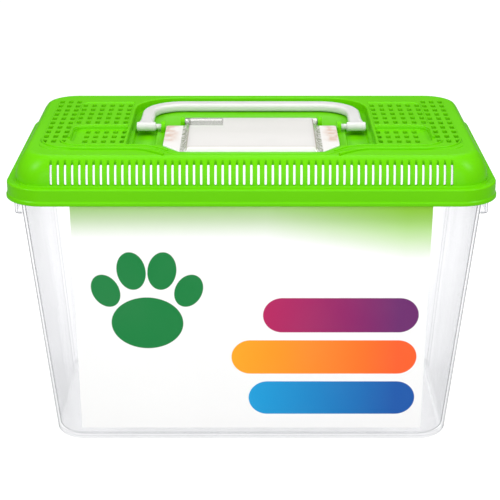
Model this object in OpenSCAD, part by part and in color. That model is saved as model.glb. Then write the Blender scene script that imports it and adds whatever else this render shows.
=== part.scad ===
// A plastic pet keeper: a clear drafted tub with a printed label on its front, and a vented
// snap-on lid that carries a folding handle and a clear flip-up feeder door.
// Millimetres, +Z up, the front faces -Y, and the origin is the middle of the flat base.

/* [Tub] */
// Width of the tub across its flat base
base_w = 283; // [260:1:300]
// Depth of the tub across its flat base
base_d = 140; // [136:1:156]
// Height of the tub to the top of its rim
tub_h = 195; // [150:1:230]
// Draft angle of the four walls
draft = 5; // [4:0.25:6]
// Radius of the upright corners
corner_r = 23; // [20:1:28]
// Thickness of the walls
tub_wall = 2; // [1.6:0.1:3]
// Thickness of the floor
floor_t = 2.4; // [2:0.1:4]
// Rounding along the bottom edge
foot_r = 2.5; // [2:0.5:8]
// How far the rim stands out past the walls
rim_out = 4.3; // [3.6:0.1:5]
// Radius of the rim's upright corners
rim_r = 24; // [20:1:28]
// Thickness of the rim
rim_t = 2.2; // [1.6:0.1:4]
// Length of the grip at each end
grip_len = 124; // [60:1:126]
// Height of the end grips, from the top of the rim
grip_drop = 25.5; // [18:0.5:40]
// Thickness of the end grips
grip_t = 1.6; // [1.2:0.1:2]

/* [Label] */
// Width of the label
label_w = 243; // [150:1:248]
// Height of the label's lower edge above the base
label_z = 10; // [6:1:40]
// Thickness of the label
label_t = 0.3; // [0.2:0.05:0.6]
// Gap between the label's upper edge and the lid's skirt
label_gap = 1; // [0.5:0.5:40]

/* [Lid] */
// Gap between the tub's rim and the lid's skirt
lid_gap = 0.4; // [0.2:0.1:0.8]
// Thickness of the lid
lid_wall = 2; // [1.6:0.1:2.4]
// How far the skirt hangs below the tub's rim
skirt_drop = 9.5; // [6:0.5:14]
// How far the bead stands out along the skirt's lower edge
bead_out = 0.8; // [0.4:0.1:1.2]
// Height of the bead
bead_h = 3; // [2:0.5:4]
// Rounding of the skirt's upper edge
skirt_r = 1.2; // [0.6:0.1:1.6]
// Width of the ledge between the skirt and the shoulder
ledge_w = 6; // [4:0.5:7]
// Height of the small step on that ledge
step_h = 1; // [0.5:0.25:1.5]
// Width of the small step
step_w = 1.4; // [0.8:0.1:2]
// Radius of the curved shoulder
shoulder_r = 26; // [24:1:34]
// Height of the shoulder
shoulder_h = 18.5; // [17:0.5:20]
// Rounding of the shoulder's top edge
crest_r = 5; // [3:0.5:7]

/* [Shoulder slots] */
// Plain length left at each end of the row of slots
slot_end = 2; // [0:0.5:20]
// Distance from one slot to the next
slot_pitch = 4.75; // [3.5:0.05:4.8]
// Width of a slot
slot_w = 1.5; // [1:0.1:2]
// Height of a slot
slot_h = 14.5; // [8:0.5:14.5]
// Height of the slots' lower ends above the small step
slot_lift = 0.5; // [0.5:0.25:2]

/* [Deck] */
// Width of the plain margin at the back and the ends of the raised deck
deck_margin = 21; // [20:0.5:22]
// Width of the plain margin in front of the raised deck
deck_front = 28.5; // [20:0.5:31]
// Radius of the raised deck's corners
deck_r = 13; // [8:1:20]
// Height of the raised deck
deck_rise = 0.5; // [0.3:0.1:1]
// Width of a vent hole
vent_w = 3.2; // [2:0.1:4]
// Length of a vent hole, front to back
vent_l = 6; // [4:0.1:8]
// Distance from one row of vent holes to the next
vent_row = 11.8; // [10:0.1:12]
// Distance from the lid's back to the last row's end
vent_back = 32; // [29:0.5:37]
// Distance from the lid's front to the first row's end
vent_front = 42; // [37:0.5:47]
// Columns of vent holes in the strips at the ends
strip_cols = 3; // [1:1:3]
// Distance between columns in the strips at the ends
strip_col = 6.4; // [5:0.1:6.5]
// Distance from the lid's end to the middle of its strip
strip_in = 30; // [29.5:0.1:31]
// Distance between columns in the inner panels
panel_col = 6.7; // [5:0.1:7]
// Distance between columns in the panel in front of the handle pivot
front_col = 6.4; // [5:0.1:7]
// Plain width at the outer end of the panel in front of the handle pivot
front_plain = 8; // [2:0.5:10]
// Most rows of vent holes in the panel in front of the handle pivot
front_rows = 3; // [1:1:4]
// Radius of the inner panels' outer corners
panel_r = 6; // [2:0.5:8]
// Depth of the sunken panel behind the handle pivot
rear_sink = 0.8; // [0.4:0.1:1.2]
// Depth of the sunken panel in front of the handle pivot
front_sink = 2; // [1:0.1:3]
// Width of the rib between the two panels
rib_w = 4; // [2:0.5:6]
// Distance of that rib in front of the handle pivot
rib_front = 3; // [0:0.5:6]

/* [Well] */
// Depth of the well that the handle and the feeder door lie in
well_depth = 5.8; // [5.4:0.1:7]
// Gap between the handle's feet and the sides of the well
well_side = 3.5; // [2:0.5:4]
// Room for the fingers between the grip and the back of the well
well_room = 9; // [4:0.5:9.5]
// Gap between the door's flanges and the front of the well
well_front_gap = 6; // [3:0.5:8]
// Gap round the front of the feeder door
bay_gap = 1; // [0.5:0.1:1.5]
// Depth of the pockets under the handle's feet
pocket_depth = 3; // [2:0.5:4]
// Reach of the pockets in front of the handle pivot
pocket_front = 40; // [10:1:44]

/* [Handle] */
// Width of the handle over its legs
handle_w = 160; // [156:1:164]
// Distance from the pivot to the far edge of the grip
handle_reach = 61.5; // [56:0.5:64]
// Width of the handle's bar
bar_w = 10; // [8:0.5:11]
// Thickness of the handle's bar
bar_t = 6; // [4:0.1:6.4]
// Outer radius of the handle's corners
handle_r = 30; // [20:1:34]
// Diameter of the barrel at each foot
foot_d = 6.5; // [6:0.1:8]
// How far the barrel stands out on each side of the leg
foot_out = 1.8; // [1:0.1:2.5]
// Diameter of the handle's pivot pins
handle_pin_d = 4; // [3:0.1:4.4]
// Free length of the pins between the feet and their lugs
pin_show = 4; // [3:0.1:4.5]
// Thickness of the lugs that hold the handle's pins
handle_lug_t = 3; // [2.4:0.1:3.2]
// Gap between lying parts and the surface under them
seat_gap = 0.3; // [0.2:0.05:0.5]
// Radial clearance of every pivot
pivot_gap = 0.05; // [0.02:0.01:0.1]

/* [Feeder door] */
// Width of the door's raised body
door_w = 95; // [80:1:96]
// Reach of the door in front of the handle pivot
door_front = 71; // [66:0.5:71]
// Reach of the door behind the handle pivot
door_back = 7; // [4:0.5:8]
// Height of the door above the well's floor
door_h = 8.7; // [7.5:0.1:10]
// Thickness of the door
door_wall = 1.6; // [1.2:0.1:2]
// Slope of the door's sides, as a width
door_bevel = 3.5; // [1:0.5:4]
// Gap between the door's side flanges and the handle's lugs
flange_gap = 0.7; // [0.4:0.1:2]
// Reach of the side flanges in front of the handle pivot
flange_front = 50; // [40:1:52]
// Distance of the flanges' back edges in front of the handle pivot
flange_back = 2; // [0:0.5:10]
// Height of the flanges above the well's floor
flange_lift = 3; // [2:0.1:4]
// Diameter of the door's pivot pins
door_pin_d = 3; // [2.6:0.1:3.4]
// Diameter of the round hinge knuckles along the door's back edge
knuckle_d = 5.2; // [4.4:0.1:6]
// Length of each hinge knuckle
knuckle_len = 28; // [10:1:40]
// Thickness of the ears that hold the door's pins
door_ear_t = 3; // [2.4:0.1:3.4]
// Wall round the bores of the lugs and ears
bearing_wall = 2; // [1.4:0.1:2.4]
// Width of the feeder opening
feed_w = 86; // [60:1:88]
// Width of the land that the door's edge rests over, at the front and the back
feed_land = 5; // [4:0.5:8]

/* [Hidden] */

$fn = 64;
skin = 0.01;   // thickness of the thin slabs that a drafted form is blended between
past = 1;      // how far a cut runs past the surface that it opens
form_fn = 48;      // sides of a round inside the tub's blended form
shoulder_fn = 128; // sides of the shoulder's large round
crest_steps = 6;   // flats that round the shoulder's top edge
crest_lead = 0.1;  // how far the crest's curve crosses the shoulder's
knuckle_sink = 1;  // how deep the hinge knuckles sit in the door's back wall
curb = 2;          // width of the curb between the well and the panels

// The tub's walls, as half sizes
slope = tan(draft);
base_hx = base_w / 2;
base_hy = base_d / 2;
top_hx = base_hx + slope * tub_h;
top_hy = base_hy + slope * tub_h;
rim_hx = top_hx + rim_out;
rim_hy = top_hy + rim_out;

// The lid's levels and half sizes
lid_out = rim_out + lid_gap + lid_wall;
lid_hx = top_hx + lid_out;
lid_hy = top_hy + lid_out;
lid_r = rim_r + lid_gap + lid_wall;
skirt_z = tub_h - skirt_drop;
ledge_z = tub_h + lid_wall;
shoulder_z = ledge_z + step_h;
rim_z = shoulder_z + shoulder_h;
deck_z = rim_z + deck_rise;
crest_angle = asin((shoulder_h - crest_r) / (shoulder_r - crest_r));

// The well, and what turns in it
well_z = rim_z - well_depth;
pivot_z = well_z + seat_gap + bar_t / 2;
leg_x = handle_w / 2 - bar_w / 2;
foot_hw = bar_w / 2 + foot_out;
well_hx = leg_x + foot_hw + well_side;
well_back = handle_reach + well_room;
well_front = flange_front + well_front_gap;
well_r = handle_r;
lug_x = leg_x - foot_hw - pin_show - handle_lug_t;
door_hx = door_w / 2;
flange_hx = lug_x - flange_gap;
door_top_z = well_z + door_h;
door_seat_z = well_z + seat_gap;
door_axis_y = door_back + knuckle_d / 2 - knuckle_sink;
door_axis_z = door_seat_z + door_h / 2;
door_bay_y = door_front + bay_gap;
feed_y0 = -(door_front - feed_land);
feed_y1 = door_back - feed_land;

// The vented strips at the lid's ends, and the two sunken panels between each strip and the well
strip_x = lid_hx - strip_in;
vent_y = [vent_front - lid_hy, lid_hy - vent_back];
rear_y = [rib_w / 2 - rib_front, vent_y[1] - vent_l / 2 - curb / 2];
front_y = [vent_y[0], -rib_w / 2 - rib_front];
panel_x0 = well_hx + curb;
rear_x1 = strip_x - strip_col * (strip_cols - 1) / 2 - vent_w / 2 - curb / 2;
front_x1 = rear_x1 - curb;

// How many copies of one size fit in a room at a pitch
function copies(pitch, size, room) = floor((room - size) / pitch) + 1;

// A rectangle of half size hx by hy with round corners
module round_rect(hx, hy, r) {
    square([2 * (hx - r), 2 * hy], center = true);
    square([2 * hx, 2 * (hy - r)], center = true);
    for (sx = [-1, 1], sy = [-1, 1])
        translate([sx * (hx - r), sy * (hy - r)])
            circle(r);
}

module slab(z, hx, hy, r, t = skin) {
    translate([0, 0, z])
        linear_extrude(t)
            round_rect(hx, hy, r);
}

// The tub's form, shrunk by inset, from z0 up to z1, with a round bottom edge
module drafted_form(inset, z0, z1, edge_r) {
    hull() {
        for (a = [0 : 30 : 90])
            slab(z0 + edge_r * (1 - cos(a)),
                 base_hx + slope * z0 - inset - edge_r * (1 - sin(a)),
                 base_hy + slope * z0 - inset - edge_r * (1 - sin(a)),
                 corner_r - inset - edge_r * (1 - sin(a)) / 2, $fn = form_fn);
        slab(z1 - skin, base_hx + slope * z1 - inset, base_hy + slope * z1 - inset,
             corner_r - inset, $fn = form_fn);
    }
}

module end_grip() {
    drop_z = tub_h - grip_drop;
    wall_x = base_hx + slope * drop_z - tub_wall;
    translate([rim_hx - grip_t, -grip_len / 2, drop_z])
        cube([grip_t, grip_len, grip_drop]);
    for (side = [-1, 1])
        translate([wall_x, side * (grip_len - grip_t) / 2 - grip_t / 2, drop_z])
            cube([rim_hx - wall_x, grip_t, grip_drop - rim_t / 2]);
}

module tub() {
    color("#e9eef0", 0.35)
    difference() {
        union() {
            drafted_form(0, 0, tub_h, foot_r);
            slab(tub_h - rim_t, rim_hx, rim_hy, rim_r, rim_t);
            for (end = [0, 180])
                rotate(end) end_grip();
        }
        drafted_form(tub_wall, floor_t, tub_h + past, foot_r);
    }
}

// The label lies on the slope of the tub's front wall
module label() {
    top_z = skirt_z - label_gap;
    color("#f3f2ea")
    translate([0, -base_hy, 0])
        rotate([draft, 0, 0])
            translate([-label_w / 2, -label_t, label_z / cos(draft)])
                cube([label_w, label_t, (top_z - label_z) / cos(draft)]);
}

// Half of the lid's cross-section, from the middle of a corner's radius out to the skirt.
// inset 0 draws the outside, and inset lid_wall draws the hollow.
module lid_profile(reach, inset) {
    shoulder_x = reach - ledge_w - shoulder_r;
    crest_x = shoulder_x + (shoulder_r - crest_r) * cos(crest_angle) + crest_lead;
    crest_z = rim_z - crest_r;
    low_z = inset > 0 ? tub_h - past : ledge_z;
    if (inset == 0)
        polygon([[0, skirt_z],
                 [reach + bead_out / 2, skirt_z],
                 [reach + bead_out, skirt_z + bead_out / 2],
                 [reach + bead_out, skirt_z + bead_h - bead_out],
                 [reach, skirt_z + bead_h],
                 [reach, ledge_z - skirt_r],
                 [reach - skirt_r, ledge_z],
                 [reach - ledge_w + step_w, ledge_z],
                 [reach - ledge_w + step_w / 2, shoulder_z],
                 [0, shoulder_z]]);
    else
        translate([0, skirt_z - past])
            square([reach - inset, tub_h - skirt_z + past]);
    intersection() {
        translate([shoulder_x, shoulder_z])
            circle(shoulder_r - inset, $fn = shoulder_fn);
        polygon(concat([[0, low_z], [reach, low_z], [reach, crest_z + (crest_r - inset) * sin(crest_angle)]],
                       [for (i = [0 : crest_steps])
                           let (a = crest_angle + (90 - crest_angle) * i / crest_steps)
                               [crest_x + (crest_r - inset) * cos(a), crest_z + (crest_r - inset) * sin(a)]],
                       [[0, rim_z - inset]]));
    }
}

// The lid's profile carried round its four sides and corners
module lid_form(inset) {
    straight_x = lid_hx - lid_r;
    straight_y = lid_hy - lid_r;
    for (side = [0, 180])
        rotate(side) {
            translate([0, -straight_y, 0])
                rotate([90, 0, 90])
                    linear_extrude(2 * straight_x, center = true)
                        mirror([1, 0]) lid_profile(lid_r, inset);
            translate([straight_x, 0, 0])
                rotate([90, 0, 0])
                    linear_extrude(2 * straight_y, center = true)
                        lid_profile(lid_r, inset);
            for (turn = [0, 1])
                mirror([0, turn, 0])
                    translate([straight_x, straight_y, 0])
                        rotate_extrude(angle = 90)
                            lid_profile(lid_r, inset);
        }
    translate([0, 0, skirt_z - (inset > 0 ? past : 0)])
        linear_extrude(rim_z - inset - skirt_z + (inset > 0 ? past : 0))
            square([2 * straight_x, 2 * straight_y], center = true);
}

// The well's outline, grown by a wall: wide round the handle, and narrow in front of the door
module well_outline(grow) {
    mid_y = (well_back - well_front) / 2;
    translate([0, mid_y])
        square([2 * (well_hx + grow), well_back + well_front - 2 * well_r], center = true);
    translate([-(well_hx + grow), -well_front - grow])
        square([2 * (well_hx + grow), well_front]);
    translate([-(well_hx - well_r), 0])
        square([2 * (well_hx - well_r), well_back + grow]);
    for (sx = [-1, 1])
        translate([sx * (well_hx - well_r), well_back - well_r])
            circle(well_r + grow);
    polygon([[-flange_hx - bay_gap - grow, -well_front], [-door_hx - bay_gap - grow, -door_bay_y - grow],
             [door_hx + bay_gap + grow, -door_bay_y - grow], [flange_hx + bay_gap + grow, -well_front]]);
}

// A panel beside the well, a rectangle with one round outer corner
module panel(x1, span, z0, z1) {
    translate([panel_x0, span[0], z0])
        linear_extrude(z1 - z0) {
            square([x1 - panel_r - panel_x0, span[1] - span[0]]);
            square([x1 - panel_x0, span[1] - span[0] - panel_r]);
            translate([x1 - panel_r - panel_x0, span[1] - span[0] - panel_r])
                circle(panel_r);
        }
}

// A grid of vent holes about the middle of an area
module vents(span_x, span_y, columns, rows, col_pitch) {
    mid = [(span_x[0] + span_x[1]) / 2, (span_y[0] + span_y[1]) / 2];
    for (i = [0 : columns - 1], j = [0 : rows - 1])
        translate([mid[0] + (i - (columns - 1) / 2) * col_pitch - vent_w / 2,
                   mid[1] + (j - (rows - 1) / 2) * vent_row - vent_l / 2,
                   well_z])
            cube([vent_w, vent_l, deck_z - well_z + past]);
}

module side_vents() {
    vents([strip_x, strip_x], vent_y, strip_cols,
          copies(vent_row, vent_l, vent_y[1] - vent_y[0]), strip_col);
    vents([panel_x0, rear_x1], rear_y,
          copies(panel_col, vent_w, rear_x1 - panel_x0),
          copies(vent_row, vent_l, rear_y[1] - rear_y[0]), panel_col);
    vents([panel_x0, front_x1 - front_plain], front_y,
          copies(front_col, vent_w, front_x1 - front_plain - panel_x0),
          min(front_rows, copies(vent_row, vent_l, front_y[1] - front_y[0])), front_col);
}

// The slots cut the shoulder's wall and stop short of the well
module shoulder_slots() {
    half = floor((lid_hx - lid_r - slot_end) / slot_pitch);
    crest_x = ledge_w + shoulder_r - (shoulder_r - crest_r) * cos(crest_angle);
    for (i = [-half : half], side = [0, 180])
        rotate(side)
            translate([i * slot_pitch - slot_w / 2, -lid_hy - past, shoulder_z + slot_lift])
                cube([slot_w, crest_x + past, slot_h]);
}

// A bearing lug that stands on the well's floor, its bore along X
module lug(x, y, z, bore_d, thickness) {
    r = bore_d / 2 + bearing_wall;
    translate([x, y, z])
        rotate([90, 0, 90])
            linear_extrude(thickness)
                difference() {
                    union() {
                        circle(r);
                        translate([-r, well_z - z - lid_wall / 2])
                            square([2 * r, z - well_z + lid_wall / 2]);
                    }
                    circle(bore_d / 2);
                }
}

module foot_pocket(grow) {
    pocket_hw = foot_hw + bay_gap + grow;
    pocket_y1 = foot_d / 2 + well_side + grow;
    pocket_z = well_z - pocket_depth - grow;
    translate([leg_x - pocket_hw, -pocket_front - grow, pocket_z])
        cube([2 * pocket_hw, pocket_front + grow + pocket_y1, well_z - pocket_z + skin]);
}

module lid() {
    color("#6bdf04")
    {
        difference() {
            union() {
                difference() {
                    lid_form(0);
                    lid_form(lid_wall);
                }
                translate([0, (deck_front - deck_margin) / 2, 0])
                    slab(rim_z - lid_wall, lid_hx - deck_margin, lid_hy - (deck_margin + deck_front) / 2,
                         deck_r, lid_wall + deck_rise);
                translate([0, 0, well_z - lid_wall])
                    linear_extrude(well_depth + lid_wall / 2)
                        well_outline(lid_wall);
                for (side = [0, 1])
                    mirror([side, 0, 0]) {
                        panel(rear_x1 + lid_wall, rear_y + [-lid_wall, lid_wall],
                              deck_z - rear_sink - lid_wall, rim_z);
                        panel(front_x1 + lid_wall, front_y + [-lid_wall, lid_wall],
                              deck_z - front_sink - lid_wall, rim_z);
                        foot_pocket(lid_wall);
                    }
            }
            translate([0, 0, well_z])
                linear_extrude(well_depth + deck_rise + past)
                    well_outline(0);
            for (side = [0, 1])
                mirror([side, 0, 0]) {
                    panel(rear_x1, rear_y, deck_z - rear_sink, deck_z + past);
                    panel(front_x1, front_y, deck_z - front_sink, deck_z + past);
                    side_vents();
                    foot_pocket(0);
                }
            translate([-feed_w / 2, feed_y0, well_z - lid_wall - past])
                cube([feed_w, feed_y1 - feed_y0, lid_wall + 2 * past]);
            shoulder_slots();
        }
        for (side = [0, 1])
            mirror([side, 0, 0]) {
                lug(lug_x, 0, pivot_z, handle_pin_d + 2 * pivot_gap, handle_lug_t);
                lug(door_hx + seat_gap, door_axis_y, door_axis_z,
                    door_pin_d + 2 * pivot_gap, door_ear_t);
            }
    }
}

// The bar's section: flat faces with round edges
module bar_section() {
    edge = bar_t / 2;
    square([bar_w - bar_t, bar_t], center = true);
    for (side = [-1, 1])
        translate([side * (bar_w / 2 - edge), 0])
            circle(edge);
}

module carry_handle() {
    bend_r = handle_r - bar_w / 2;
    bend_x = leg_x - bend_r;
    bend_y = handle_reach - handle_r;
    color("#f0f0eb")
    translate([0, 0, pivot_z]) {
        translate([0, bend_y + bend_r, 0])
            rotate([90, 0, 90])
                linear_extrude(2 * bend_x, center = true)
                    bar_section();
        for (side = [0, 1])
            mirror([side, 0, 0]) {
                translate([bend_x, bend_y, 0])
                    rotate_extrude(angle = 90)
                        translate([bend_r, 0])
                            bar_section();
                translate([leg_x, 0, 0])
                    rotate([-90, 0, 0])
                        linear_extrude(bend_y)
                            bar_section();
                translate([leg_x, 0, 0])
                    rotate([0, 90, 0])
                        cylinder(h = 2 * foot_hw, d = foot_d, center = true);
                translate([lug_x, 0, 0])
                    rotate([0, 90, 0])
                        cylinder(h = leg_x - lug_x, d = handle_pin_d);
            }
    }
}

// The door's raised body, shrunk by inset, with sloping sides
module door_body(inset) {
    hull() {
        translate([-door_hx + inset, -door_front + inset, door_seat_z - (inset > 0 ? past : 0)])
            cube([door_w - 2 * inset, door_front + door_back - 2 * inset, flange_lift]);
        translate([-door_hx + inset + door_bevel, -door_front + inset + door_bevel / 2,
                   door_top_z - inset - skin])
            cube([door_w - 2 * (inset + door_bevel), door_front + door_back - 2 * inset - door_bevel, skin]);
    }
}

module door_flanges() {
    front_y = door_bevel - door_front;
    translate([0, 0, well_z + flange_lift])
        linear_extrude(door_wall)
            polygon([[-flange_hx, -flange_back], [-flange_hx, -flange_front], [-door_hx, front_y],
                     [door_hx, front_y], [flange_hx, -flange_front], [flange_hx, -flange_back]]);
}

// A knuckle and its pin, which reaches through the ear on the lid
module door_hinge() {
    pin_end = door_hx + seat_gap + door_ear_t;
    translate([door_hx - knuckle_len, door_axis_y, door_axis_z])
        rotate([0, 90, 0]) {
            cylinder(h = knuckle_len, d = knuckle_d);
            cylinder(h = knuckle_len + pin_end - door_hx, d = door_pin_d);
        }
}

module feeder_door() {
    color("#f6f5f1", 0.45)
    {
        difference() {
            union() {
                door_body(0);
                door_flanges();
            }
            door_body(door_wall);
        }
        for (side = [0, 1])
            mirror([side, 0, 0])
                door_hinge();
    }
}

tub();
label();
lid();
carry_handle();
feeder_door();
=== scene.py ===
# A clear pet keeper: drafted tub with a printed label, vented lime lid, folding handle, flip-up feeder door.
# The dictionaries hold millimetres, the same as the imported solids; everything is made in metres.
import math

import bmesh
import bpy
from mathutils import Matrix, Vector


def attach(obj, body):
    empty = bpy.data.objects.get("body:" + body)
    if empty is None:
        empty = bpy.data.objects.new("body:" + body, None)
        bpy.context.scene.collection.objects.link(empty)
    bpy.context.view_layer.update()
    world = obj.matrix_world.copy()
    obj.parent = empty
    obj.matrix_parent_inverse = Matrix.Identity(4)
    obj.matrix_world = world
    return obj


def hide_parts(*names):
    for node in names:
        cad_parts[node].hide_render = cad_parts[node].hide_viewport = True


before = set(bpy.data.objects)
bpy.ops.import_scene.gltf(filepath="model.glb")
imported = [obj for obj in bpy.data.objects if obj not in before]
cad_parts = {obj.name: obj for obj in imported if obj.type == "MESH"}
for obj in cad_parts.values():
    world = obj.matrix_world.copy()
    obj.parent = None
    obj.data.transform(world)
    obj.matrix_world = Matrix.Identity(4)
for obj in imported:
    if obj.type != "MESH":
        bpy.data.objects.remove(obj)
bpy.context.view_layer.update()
mm = 0.001
print("frame:", ", ".join(sorted(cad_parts)))


# Node trees, written as calls
class Wire:
    # an output socket, with the operators that the node maths here uses
    def __init__(self, nodes, socket):
        self.nodes = nodes
        self.socket = socket

    def maths(self, operation, *values):
        return self.nodes.add("ShaderNodeMath", {"operation": operation}, dict(enumerate(values)))

    def __add__(self, other):
        return self.maths("ADD", self, other)

    def __radd__(self, other):
        return self.maths("ADD", other, self)

    def __sub__(self, other):
        return self.maths("SUBTRACT", self, other)

    def __rsub__(self, other):
        return self.maths("SUBTRACT", other, self)

    def __mul__(self, other):
        return self.maths("MULTIPLY", self, other)

    def __rmul__(self, other):
        return self.maths("MULTIPLY", other, self)

    def __truediv__(self, other):
        return self.maths("DIVIDE", self, other)

    def __pow__(self, other):
        return self.maths("POWER", self, other)

    def __mod__(self, other):
        return self.maths("FLOORED_MODULO", self, other)

    def __lt__(self, other):
        return self.maths("LESS_THAN", self, other)

    def __neg__(self):
        return 0 - self

    def __abs__(self):
        return self.maths("ABSOLUTE", self)

    def floored(self):
        return self.maths("FLOOR", self)

    def atLeast(self, other):
        return self.maths("MAXIMUM", self, other)

    def atMost(self, other):
        return self.maths("MINIMUM", self, other)

    def unit(self):
        return self.atLeast(0.0).atMost(1.0)

    def rise(self, start, rate):
        # 0 as far as start, then up to 1 at this rate; with a negative rate it is 0 past start
        return ((self - start) * rate).unit()

    def band(self, centre, half):
        # 1 at the centre, 0 from half away on both sides
        return (1 - abs(self - centre) / half).unit()


class Nodes:
    def __init__(self, tree):
        self.tree = tree

    def add(self, kind, settings=None, sockets=None, output=0):
        node = self.tree.nodes.new(kind)
        for name, value in (settings or {}).items():
            setattr(node, name, value)
        for name, value in (sockets or {}).items():
            if isinstance(value, Wire):
                self.tree.links.new(value.socket, node.inputs[name])
            else:
                node.inputs[name].default_value = value
        return Wire(self, node.outputs[output])

    def place(self):
        # x, y and z on the object, in millimetres
        point = self.add("ShaderNodeTexCoord", output="Object")
        parts = self.add("ShaderNodeSeparateXYZ", sockets={0: point}).socket.node
        return [Wire(self, parts.outputs[axis]) / mm for axis in range(3)]

    def turned(self):
        # how far the surface faces along x, y and z
        normal = self.add("ShaderNodeNewGeometry", output="Normal")
        parts = self.add("ShaderNodeSeparateXYZ", sockets={0: normal}).socket.node
        return [Wire(self, parts.outputs[axis]) for axis in range(3)]

    def noise(self, size, detail=2.0, roughness=0.5, stretch=(1, 1, 1)):
        # soft noise in lumps of about size millimetres
        point = self.add("ShaderNodeTexCoord", output="Object")
        laid = self.add("ShaderNodeMapping", sockets={"Vector": point, "Scale": stretch})
        return self.add("ShaderNodeTexNoise", sockets={"Vector": laid, "Scale": 1 / (size * mm),
                                                       "Detail": detail, "Roughness": roughness})

    def blend(self, share, first, second):
        return self.add("ShaderNodeMix", {"data_type": "RGBA"}, {0: share, 6: first, 7: second}, output=2)

    def bump(self, height, depth):
        return self.add("ShaderNodeBump", sockets={"Height": height, "Distance": depth * mm})

    def plastic(self, **sockets):
        named = {name.replace("_", " "): value for name, value in sockets.items()}
        return self.add("ShaderNodeBsdfPrincipled", sockets=named)

    def mixShaders(self, share, first, second):
        return self.add("ShaderNodeMixShader", sockets={0: share, 1: first, 2: second})

    def show(self, shader):
        shown = self.tree.nodes.new("ShaderNodeOutputMaterial")
        self.tree.links.new(shader.socket, shown.inputs["Surface"])


def newMaterial(name):
    made = bpy.data.materials.new(name)
    made.use_nodes = True
    made.node_tree.nodes.clear()
    return made, Nodes(made.node_tree)


# Camera, floor and lamps
shot = {"lens": 104.94, "pitch": 20.502, "place": (-0.9, -1007.9, 496.57), "farthest": 50000}
studio = {
    "floor": 12000,
    "target": (0, 0, 110),     # what every lamp points at
    "floorGlow": 0.80,         # what the camera sees of the floor with no light on it
    "floorColour": 0.40,
    "surround": 0.54,          # the room's even light
    "mirrored": 0.09,          # how bright gloss shows the room
}
lamps = {
    "front": {"place": (0, -1200, 560), "size": (1100, 450), "power": 4.8},
    "low": {"place": (0, -1250, 100), "size": (1100, 300), "power": 2.6},
    "left": {"place": (-850, -500, 960), "size": (260, 260), "power": 5.4},
    "right": {"place": (850, -500, 960), "size": (260, 260), "power": 5.0},
    "over": {"place": (20, 0, 1050), "size": (900, 600), "power": 4.1},
    "back": {"place": (0, 850, 950), "size": (900, 300), "power": 1.5},
}


def rayIs(nodes, kind):
    path = nodes.add("ShaderNodeLightPath").socket.node
    return Wire(nodes, path.outputs["Is " + kind + " Ray"])


def makeStudio():
    camera = bpy.data.cameras.new("camera")
    camera.lens = shot["lens"]
    camera.clip_end = shot["farthest"] * mm
    eye = bpy.data.objects.new("camera", camera)
    eye.location = Vector(shot["place"]) * mm
    eye.rotation_euler = (math.radians(90 - shot["pitch"]), 0, 0)
    bpy.context.scene.collection.objects.link(eye)
    bpy.context.scene.camera = eye

    world = bpy.data.worlds.new("surround")
    world.use_nodes = True
    world.node_tree.nodes.clear()
    nodes = Nodes(world.node_tree)
    even, seen = studio["surround"], rayIs(nodes, "Camera")
    glow = seen * (1 - even) + rayIs(nodes, "Glossy") * (studio["mirrored"] - even) + even
    sky = nodes.add("ShaderNodeBackground", sockets={"Color": (1, 1, 1, 1), "Strength": glow})
    shown = world.node_tree.nodes.new("ShaderNodeOutputWorld")
    world.node_tree.links.new(sky.socket, shown.inputs["Surface"])
    bpy.context.scene.world = world

    half = studio["floor"] * mm / 2
    shape = bmesh.new()
    corners = [(-half, -half, 0), (half, -half, 0), (half, half, 0), (-half, half, 0)]
    shape.faces.new([shape.verts.new(corner) for corner in corners])
    floor = newPiece("floor", shape, floorMaterial())

    target = Vector(studio["target"]) * mm
    for name, lamp in lamps.items():
        panel = bpy.data.lights.new(name, "AREA")
        panel.shape = "RECTANGLE"
        panel.size = lamp["size"][0] * mm
        panel.size_y = lamp["size"][1] * mm
        panel.energy = lamp["power"]
        held = bpy.data.objects.new(name, panel)
        held.location = Vector(lamp["place"]) * mm
        held.rotation_euler = (target - held.location).to_track_quat("-Z", "Y").to_euler()
        bpy.context.scene.collection.objects.link(held)
    bpy.context.scene.view_settings.view_transform = "Standard"
    print("studio: camera, floor and", len(lamps), "lamps")


def floorMaterial():
    made, nodes = newMaterial("paleFloor")
    tone = studio["floorColour"]
    lit = nodes.add("ShaderNodeBsdfDiffuse", sockets={"Color": (tone, tone, tone, 1)})
    seen = rayIs(nodes, "Camera") + rayIs(nodes, "Glossy") * studio["mirrored"]
    glow = nodes.add("ShaderNodeEmission", sockets={"Strength": seen * studio["floorGlow"]})
    nodes.show(nodes.add("ShaderNodeAddShader", sockets={0: lit, 1: glow}))
    return made


# Shapes
def arc(across, up, radius, start, stop, steps):
    # points of an arc from one angle to another, in degrees
    angles = [math.radians(start + (stop - start) * step / steps) for step in range(steps + 1)]
    return [(across + radius * math.cos(angle), up + radius * math.sin(angle)) for angle in angles]


def roundRect(halfX, halfY, radius, steps=12):
    corners = [(halfX, halfY), (-halfX, halfY), (-halfX, -halfY), (halfX, -halfY)]
    points = []
    for turn, (x, y) in enumerate(corners):
        centreX = math.copysign(abs(x) - radius, x)
        centreY = math.copysign(abs(y) - radius, y)
        points += arc(centreX, centreY, radius, 90 * turn, 90 * (turn + 1), steps)
    return points


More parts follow.
